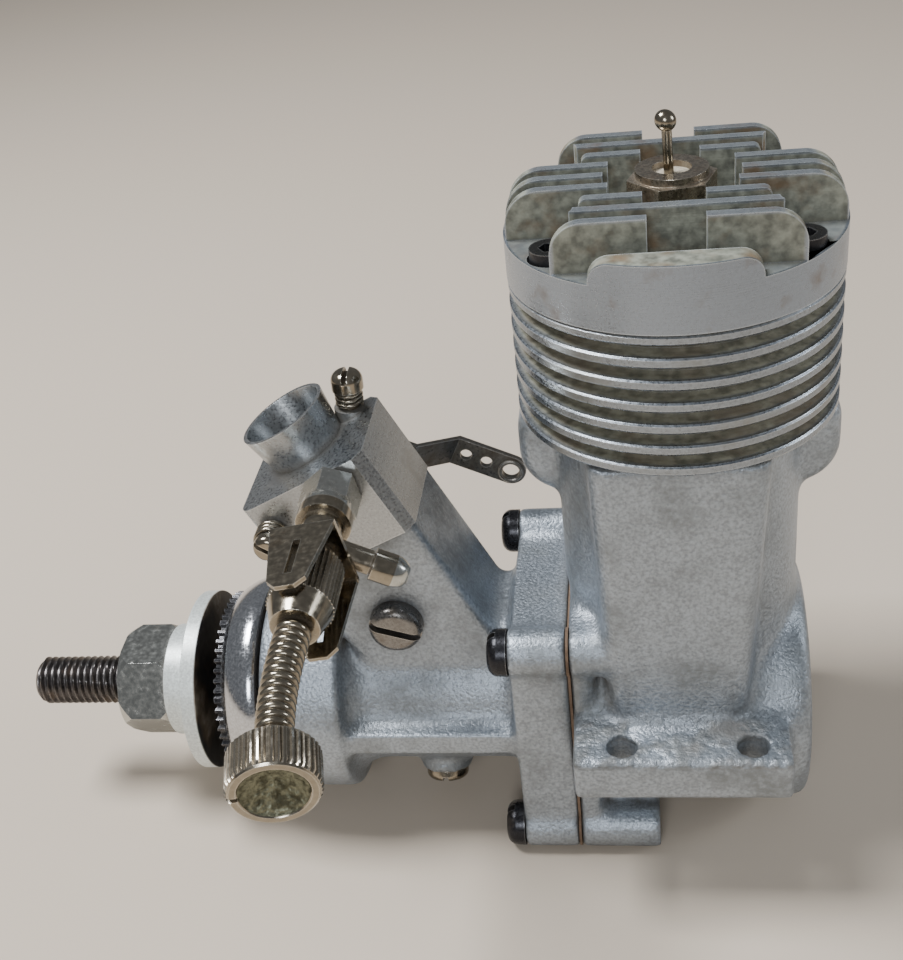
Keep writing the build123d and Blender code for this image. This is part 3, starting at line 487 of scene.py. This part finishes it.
def filleted_casting(mesh, voxel, kept_bores):
    """A cast skin: inside corners filled with a soft radius, outside edges eased, bores left round."""
    mesh = modified(mesh, ("REMESH", {"mode": "VOXEL", "voxel_size": voxel}))
    count = len(mesh.vertices)
    points = np.empty(3 * count)
    mesh.vertices.foreach_get("co", points)
    points = points.reshape(-1, 3)
    pairs = np.empty(2 * len(mesh.edges), dtype=np.int64)
    mesh.edges.foreach_get("vertices", pairs)
    starts, ends = pairs.reshape(-1, 2).T
    degree = np.bincount(starts, minlength=count) + np.bincount(ends, minlength=count)
    free = np.ones(count, dtype=bool)
    for origin, direction, radius in kept_bores:
        away = points - np.array(origin)
        axis = np.array(direction) / np.linalg.norm(direction)
        away -= np.outer(away @ axis, axis)
        free &= np.linalg.norm(away, axis=1) > radius

    def pull(current):
        total = np.empty_like(current)
        for axis in range(3):
            total[:, axis] = np.bincount(starts, current[ends, axis], count)
            total[:, axis] += np.bincount(ends, current[starts, axis], count)
        return total / degree[:, None] - current

    normals = np.empty(3 * count)
    for step in range(CAST_FILLET_STEPS):
        if step % 5 == 0:
            mesh.vertices.foreach_set("co", points.ravel())
            mesh.update()
            mesh.vertex_normals.foreach_get("vector", normals)
        move = pull(points)
        outward = np.einsum("ij,ij->i", move, normals.reshape(-1, 3))
        points[free & (outward > 0)] += 0.5 * move[free & (outward > 0)]
    for step in range(CAST_SOFTEN_STEPS):
        points += 0.5 * pull(points)
    mesh.vertices.foreach_set("co", points.ravel())
    mesh.update()
    mesh.shade_smooth()
    return mesh


def lathe(name, rows, segments, shape=None, closed=False):
    """A turned shape about local Z from (radius, height) rows, which `shape` may change around the axis."""
    points = []
    for row, (radius, height) in enumerate(rows):
        for step in range(segments):
            angle = 2 * pi * step / segments
            r, z = shape(row, angle, radius, height) if shape else (radius, height)
            points.append((r * cos(angle), r * sin(angle), z))
    faces = []
    for row in range(len(rows) if closed else len(rows) - 1):
        below = row * segments
        above = (row + 1) % len(rows) * segments
        for step in range(segments):
            after = (step + 1) % segments
            faces.append((below + step, below + after, above + after, above + step))
    mesh = bpy.data.meshes.new(name)
    if not closed:
        faces.append(tuple(reversed(range(segments))))
        faces.append(tuple(range((len(rows) - 1) * segments, len(rows) * segments)))
    mesh.from_pydata(points, [], faces)
    mesh.shade_smooth()
    mesh.set_sharp_from_angle(angle=radians(35))
    return mesh


def along(origin, direction, side):
    """The matrix that stands local Z on a direction, with local X near the given side."""
    z_axis = Vector(direction).normalized()
    y_axis = z_axis.cross(Vector(side)).normalized()
    x_axis = y_axis.cross(z_axis)
    turned = Matrix((x_axis, y_axis, z_axis)).transposed().to_4x4()
    return Matrix.Translation(Vector(origin)) @ turned


# Cast and finned parts

def crankcase():
    """The main casting up to its lowest fin, then the turned fins as a ring on top of it."""
    work = closed_copy("crankcase")
    cut_away(work, (0, 0, FIN_TOP_OF_CASE), (0, 0, 1))
    bores = [((x, y, 0), (0, 0, 1), LUG_HOLE_R)
             for x in (-LUG_HOLE_X, LUG_HOLE_X) for y in (-LUG_HOLE_Y, LUG_HOLE_Y)]
    bores.append(((0, 0, 0), (0, 0, 1), CYLINDER_BORE_R))
    skin = filleted_casting(to_mesh("crankcase", work), CRANKCASE_VOXEL, bores)
    piece("crankcase_casting", skin, "crankcase", cast)
    rows = [(FIN_BORE_R, DECK_Z), (FIN_BORE_R, FIN_FIRST_Z - 0.3), (FIN_ROOT_R - 1.2, FIN_FIRST_Z - 0.3)]
    for index in range(FIN_COUNT):
        low = FIN_FIRST_Z + index * FIN_PITCH
        high = min(low + FIN_THICKNESS, DECK_Z)
        rows += [(FIN_ROOT_R + 0.25, low - 0.02), (FIN_ROOT_R + 0.6, low + 0.1), (FIN_R - 0.15, low + 0.14),
                 (FIN_R, low + 0.34), (FIN_R, high - 0.2), (FIN_R - 0.18, high - 0.03),
                 (FIN_ROOT_R + 0.6, high), (FIN_ROOT_R + 0.25, high + 0.08), (FIN_ROOT_R, high + 0.3)]
    rows = [(radius, min(height, DECK_Z)) for radius, height in rows]
    ring = lathe("cooling_fins", rows, 180, closed=True)
    piece("cooling_fins", ring, "crankcase", finned)


def front_housing():
    """The front casting with its neck, nose, webs and screw bosses."""
    bores = [((0, 0, 0), (1, 0, 0), SHAFT_BORE_R)]
    skin = filleted_casting(to_mesh("front_housing", closed_copy("front_housing")), HOUSING_VOXEL, bores)
    piece("front_housing_casting", skin, "front_housing", cast)


def gasket():
    """The paper gasket, with an edge that wanders a little."""
    work = closed_copy("front_gasket")
    bmesh.ops.dissolve_limit(work, angle_limit=radians(1.0), verts=work.verts, edges=work.edges)
    long_edges = [edge for edge in work.edges if edge.calc_length() > 1.0]
    bmesh.ops.subdivide_edges(work, edges=long_edges, cuts=24)
    for vertex in work.verts:
        away = Vector((0, vertex.co.y, vertex.co.z))
        if away.length > GASKET_INNER_R:
            wander = 0.5 + 0.5 * noise.noise(vertex.co * 0.9)
            vertex.co -= away.normalized() * GASKET_WANDER * wander
    piece("front_gasket_paper", to_mesh("front_gasket", work), "front_gasket", paper)


# Shaft, washers and nut

def thread(name, length, radius, depth, pitch, lead):
    """A right-handed screw thread about local Z, with a chamfered far end."""
    segments = 48
    rows = int(length / pitch * 8)

    def ridge(row, angle, base, height):
        turn = (height / pitch - angle / (2 * pi)) % 1.0
        groove = depth * min(1.0, 1.35 * abs(2 * turn - 1))
        end = length - height
        limit = radius - max(0.0, lead - end)
        return max(0.3, min(radius - groove, limit)), height

    heights = [length * row / rows for row in range(rows + 1)]
    return lathe(name, [(radius, height) for height in heights], segments, ridge)


def shaft():
    """The crankshaft behind the nut, and its threaded stud in front."""
    work = closed_copy("crankshaft")
    cut_away(work, (STUD_END_X, 0, 0), (-1, 0, 0))
    piece("crankshaft_skin", softened("crankshaft", work, 0.1), "crankshaft", dark_steel)
    length = STUD_END_X - STUD_TIP_X
    stud = thread("stud", length, STUD_R, STUD_THREAD_DEPTH, STUD_PITCH, 0.8)
    stud.transform(along((STUD_END_X, 0, 0), (-1, 0, 0), (0, 0, 1)))
    piece("propeller_stud_thread", stud, "crankshaft", dark_steel)


def drive_washer():
    """The polished dome and the dark toothed ring on its front."""
    rows = [(DRIVE_BORE_R, -51.35), (13.0, -51.35), (13.2, -51.8), (13.22, -52.4), (13.05, -53.2),
            (12.7, -54.1), (12.1, -55.1), (11.5, -55.8), (11.2, -56.1), (DRIVE_BORE_R, -56.1)]
    dome = lathe("dome", [(radius, -height) for radius, height in rows], 160, closed=True)
    dome.flip_normals()
    dome.transform(along((0, 0, 0), (-1, 0, 0), (0, 0, 1)))
    piece("drive_washer_dome", dome, "drive_washer", polished)

    def tooth(row, angle, radius, height):
        raised = (angle * DRIVE_TEETH / (2 * pi)) % 1.0 < 0.5
        if radius > 7.5 and not raised:
            return radius - 0.35, min(height, 56.75)
        return radius, height

    rows = [(DRIVE_BORE_R, 56.05), (11.35, 56.05), (11.35, 57.0), (7.6, 57.0), (7.2, 56.8),
            (DRIVE_BORE_R, 56.8)]
    ring = lathe("teeth", rows, DRIVE_TEETH * 4, tooth, closed=True)
    ring.transform(along((0, 0, 0), (-1, 0, 0), (0, 0, 1)))
    piece("drive_washer_teeth", ring, "drive_washer", black)


# Needle valve

def knob():
    """The knurled knob: a flat bright rim round a rough dish, with one notch in the rim."""
    start = Matrix.Translation(SPRING_START) @ Matrix.Rotation(SPRING_DROP, 4, "X")
    start = start @ Matrix.Rotation(SPRING_YAW, 4, "Z")
    end = Vector((SPRING_BEND_R * (1 - cos(SPRING_BEND)), -SPRING_BEND_R * sin(SPRING_BEND), 0))
    direction = Vector((sin(SPRING_BEND), -cos(SPRING_BEND), 0))
    matrix = start @ along(end + direction * 0.3, direction, (0, 0, 1))
    rows = [(1.2, 0.0), (3.7, 0.0), (3.95, 0.12), (4.25, 0.4), (4.25, 3.75), (4.02, 4.12), (3.85, 4.28),
            (3.25, 4.3), (3.12, 4.2)]
    dish_steps = 24
    notch_half_angle = 0.055
    rows += [(3.05 - 0.12 * step, 2.85 + 1.2 * (1 - step / dish_steps) ** 1.5) for step in range(dish_steps + 1)]

    def knurl(row, angle, radius, height):
        phase = (angle * KNOB_TEETH / (2 * pi)) % 1.0
        if row in (3, 4) and 0.25 <= phase < 0.75:
            return radius - 0.3, height
        if row in (5, 6, 7) and abs(angle - 0.5 * pi) < notch_half_angle:
            return radius, height - 0.5
        if row > 8:
            place = Vector((radius * cos(angle), radius * sin(angle), 0))
            return radius, height + 0.16 * noise.noise(place * 1.6) + 0.12 * noise.noise(place * 4.0)
        return radius, height

    mesh = lathe("knob", rows, KNOB_TEETH * 4, knurl)
    for face in mesh.polygons:
        centre = face.center
        if centre.z > 1.5 and centre.xy.length < 3.15:
            face.material_index = 1
            face.use_smooth = True
    mesh.transform(matrix)
    piece("needle_knob_skin", mesh, "needle_knob", nickel, residue)


def arm_eyelet():
    """The raised ring round the throttle arm's largest hole."""
    rows = [(1.1, 0.0), (1.1, 0.3), (1.2, 0.42), (1.45, 0.42), (1.6, 0.3), (1.6, 0.0)]
    ring = lathe("eyelet", rows, 48, closed=True)
    ring.transform(along(ARM_EYELET, (0, -1, 0), (1, 0, 0)))
    piece("throttle_arm_eyelet", ring, "throttle_arm", arm_steel, replaces=False)


def inlet_nose():
    """The rounded end of the fuel inlet."""
    rows = [(0.6, 9.5), (0.62, 9.85), (0.95, 9.88), (1.28, 9.62), (1.52, 9.2), (1.68, 8.7), (1.745, 8.2),
            (1.745, 6.4), (1.66, 6.15), (1.3, 6.05), (0.6, 6.05)]
    nose = lathe("nose", rows, 64, closed=True)
    nose.flip_normals()
    nose.transform(along(INLET_ROOT, INLET_DIRECTION, (0, -1, 0)))
    piece("fuel_inlet_nose", nose, "fuel_banjo", plated, replaces=False)


def plug_terminal():
    """The plug's centre post, bent a little to one side."""
    work = closed_copy("glow_plug_terminal")
    for vertex in work.verts:
        height = max(0.0, vertex.co.z - TERMINAL_BEND_Z)
        vertex.co.x -= TERMINAL_LEAN * height
    mesh = to_mesh("terminal", work)
    mesh.shade_smooth()
    mesh.set_sharp_from_angle(angle=radians(50))
    piece("glow_plug_terminal_skin", mesh, "glow_plug_terminal", nickel)


def head_screws():
    """The heads of the four head screws, down in their pockets."""
    work = closed_copy("head_screws")
    cut_away(work, (0, 0, HEAD_SCREW_CUT_Z), (0, 0, -1))
    piece("head_screw_heads", softened("head_screws", work, 0.12), "head_screws", black)


def coil_skin(node):
    """A wound spring with a smooth surface."""
    mesh = to_mesh(node, closed_copy(node))
    mesh.shade_smooth()
    mesh.set_sharp_from_angle(angle=radians(45))
    piece(f"{node}_skin", mesh, node, nickel)


crankcase()
front_housing()
gasket()
shaft()
drive_washer()
knob()
inlet_nose()
arm_eyelet()
plug_terminal()
head_screws()
dressed("cylinder_head", headed, 0.16)
dressed("glow_plug_body", plug_metal, 0.12)
dressed("propeller_washer", etched, 0.18)
dressed("propeller_nut", plated, 0.16)
dressed("needle_gland", plated, 0.1)
dressed("carburettor_body", block_alloy, 0.12)
dressed("carburettor_seal", paper, 0.05)
dressed("carburettor_screw", slotted, 0.1)
dressed("front_housing_screws", black, 0.1)
dressed("underside_plug", nickel, 0.1)
dressed("throttle_arm", arm_steel, 0.08)
dressed("throttle_barrel", ground_steel, 0.1)
for part in ("idle_stop_screw", "air_bleed_screw", "fuel_banjo", "ratchet_clip", "needle_thimble"):
    dressed(part, nickel, 0.07)
for part in ("idle_stop_spring", "air_bleed_spring", "needle_extension"):
    coil_skin(part)


# Floor, light and camera

def plain(name, color, roughness):
    """An even, matt surface."""
    material = bpy.data.materials.new(name)
    material.use_nodes = True
    shader = material.node_tree.nodes["Principled BSDF"]
    shader.inputs["Base Color"].default_value = (*color, 1)
    shader.inputs["Roughness"].default_value = roughness
    return material


def area_light(name, place, size, power, color):
    """A soft square light that faces the engine."""
    data = bpy.data.lights.new(name, "AREA")
    data.size = size
    data.energy = power
    data.color = color
    lamp = bpy.data.objects.new(name, data)
    bpy.context.collection.objects.link(lamp)
    lamp.location = place
    lamp.rotation_euler = (LIGHT_TARGET - Vector(place)).to_track_quat("-Z", "Y").to_euler()


floor_z = cad_box[0][2]
floor_mesh = bpy.data.meshes.new("floor")
floor_corners = [(x * FLOOR_REACH, y * FLOOR_REACH, floor_z) for x, y in ((-1, -1), (1, -1), (1, 1), (-1, 1))]
floor_mesh.from_pydata(floor_corners, [], [(0, 1, 2, 3)])
floor_mesh.materials.append(plain("pale paper", (0.64, 0.55, 0.45), 0.95))
floor = bpy.data.objects.new("floor", floor_mesh)
bpy.context.collection.objects.link(floor)

area_light("key", (-0.26, 0.02, 0.50), 0.20, 4.4, (0.97, 0.985, 1.0))
area_light("front", (-0.06, -0.60, 0.34), 0.20, 1.5, (0.92, 0.96, 1.0))
area_light("right", (0.50, 0.02, 0.26), 0.16, 0.9, (0.90, 0.95, 1.0))
world = bpy.data.worlds.new("world")
world.use_nodes = True
world.node_tree.nodes["Background"].inputs["Color"].default_value = (0.90, 0.92, 0.95, 1)
world.node_tree.nodes["Background"].inputs["Strength"].default_value = 0.22
bpy.context.scene.world = world

camera_data = bpy.data.cameras.new("camera")
camera_data.lens = CAMERA_LENS
camera_data.sensor_width = 36
camera_data.clip_start = 0.01
camera = bpy.data.objects.new("camera", camera_data)
bpy.context.collection.objects.link(camera)
rotation = Matrix((CAMERA_RIGHT, CAMERA_UP, CAMERA_BACK)).transposed().to_4x4()
camera.matrix_world = Matrix.Translation(CAMERA_PLACE) @ rotation
bpy.context.scene.camera = camera
